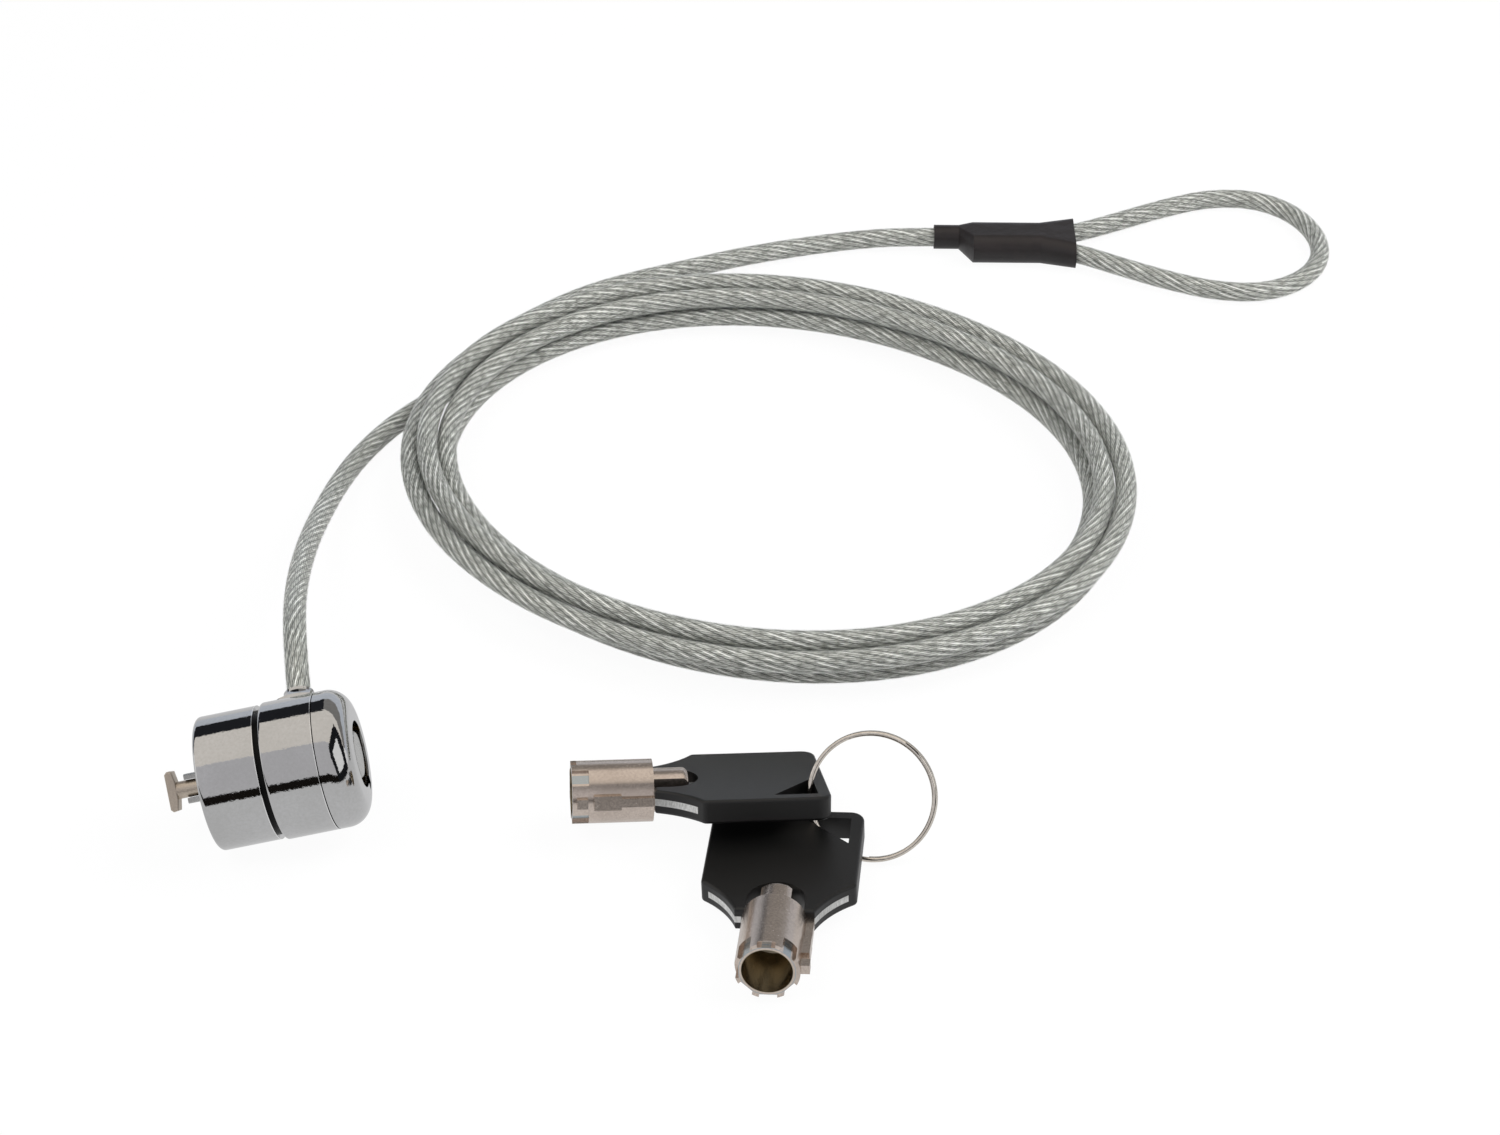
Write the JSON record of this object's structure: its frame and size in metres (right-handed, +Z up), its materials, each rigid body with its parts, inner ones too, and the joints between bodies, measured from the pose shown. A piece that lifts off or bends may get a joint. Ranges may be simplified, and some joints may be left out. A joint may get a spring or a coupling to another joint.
{
  "type": "cable_lock",
  "caption": "Laptop cable lock: swivelling T-bar lock head, coiled steel cable in clear plastic, end loop with crimp sleeve, tubular keys on a split ring.",
  "frame": {"origin": "floor point under the middle of the box that holds the lock head and the keys, without the cable", "axes": "+X from the T-bar towards the key ring, +Y towards the cable's loop, +Z up"},
  "size_m": [0.2078, 0.2446, 0.0245],
  "materials": {
    "chrome_shell": "polished",
    "black_washer": "satin",
    "crimp_metal": "satin",
    "t_bar_metal": "cast",
    "inner_steel": "machined",
    "inner_brass": "machined",
    "pin_brass": "polished",
    "plug_steel": "turned",
    "key_nickel": "satin",
    "key_strip": "stamped",
    "bow_plastic": "fine texture",
    "ring_steel": "polished wire",
    "sleeve_rubber": "shrunk",
    "clear_cable": "clear coat over steel rope"
  },
  "bodies": {
    "cable": {"cable_lead": "clear_cable", "cable_coil": "clear_cable", "cable_tail": "clear_cable", "cable_loop": "clear_cable", "shrink_sleeve": "sleeve_rubber", "loop_ferrule": "crimp_metal", "swivel_collar": "chrome_shell", "cable_end_stop": "crimp_metal"},
    "barrel": {"nose_barrel": "chrome_shell", "front_washer": "black_washer", "rear_cap": "chrome_shell", "guide_ears": "t_bar_metal", "spacer_tube": "inner_brass", "pin_housing": "inner_brass", "driver_pins": "pin_brass", "pin_springs": "inner_steel", "cylinder_shell": "inner_brass"},
    "rotor": {"t_bar": "t_bar_metal", "lock_plug": "plug_steel", "plug_post": "plug_steel", "cross_pin": "inner_steel", "spindle_clip": "inner_steel", "stop_disc": "inner_steel"},
    "pins": {"key_pins": "pin_brass"},
    "lower_key": {"key_b_barrel": "key_nickel", "key_b_plate": "key_strip", "key_b_bow": "bow_plastic"},
    "ring": {"key_ring": "ring_steel"},
    "upper_key": {"key_a_barrel": "key_nickel", "key_a_plate": "key_strip", "key_a_bow": "bow_plastic"}
  },
  "joints": [
    {"name": "lock_swivel", "type": "hinge", "parent": "cable", "child": "barrel", "pos_m": [-0.05269, 0.01098, 0.01024], "axis": [0.9798, 0.0909, 0.1779], "continuous": true},
    {"name": "t_bar_turn", "type": "hinge", "parent": "barrel", "child": "rotor", "pos_m": [-0.05269, 0.01098, 0.01024], "axis": [0.9798, 0.0909, 0.1779], "range_deg": [0, 90]},
    {"name": "key_pin_travel", "type": "slide", "parent": "rotor", "child": "pins", "axis": [0.9798, 0.0909, 0.1779], "range_m": [0, 0.0012]},
    {"name": "keys_lift", "type": "slide", "parent": "cable", "child": "lower_key", "axis": [0, 0, 1], "range_m": [0, 0.08]},
    {"name": "ring_turn", "type": "hinge", "parent": "lower_key", "child": "ring", "pos_m": [0.04955, 0.00936, 0.00911], "axis": [-0.2065, -0.8282, 0.521], "range_deg": [-15, 15]},
    {"name": "upper_key_swing", "type": "hinge", "parent": "lower_key", "child": "upper_key", "pos_m": [0.04003, 0.01174, 0.00911], "axis": [0.126, 0.5055, 0.8536], "range_deg": [0, 40]}
  ]
}
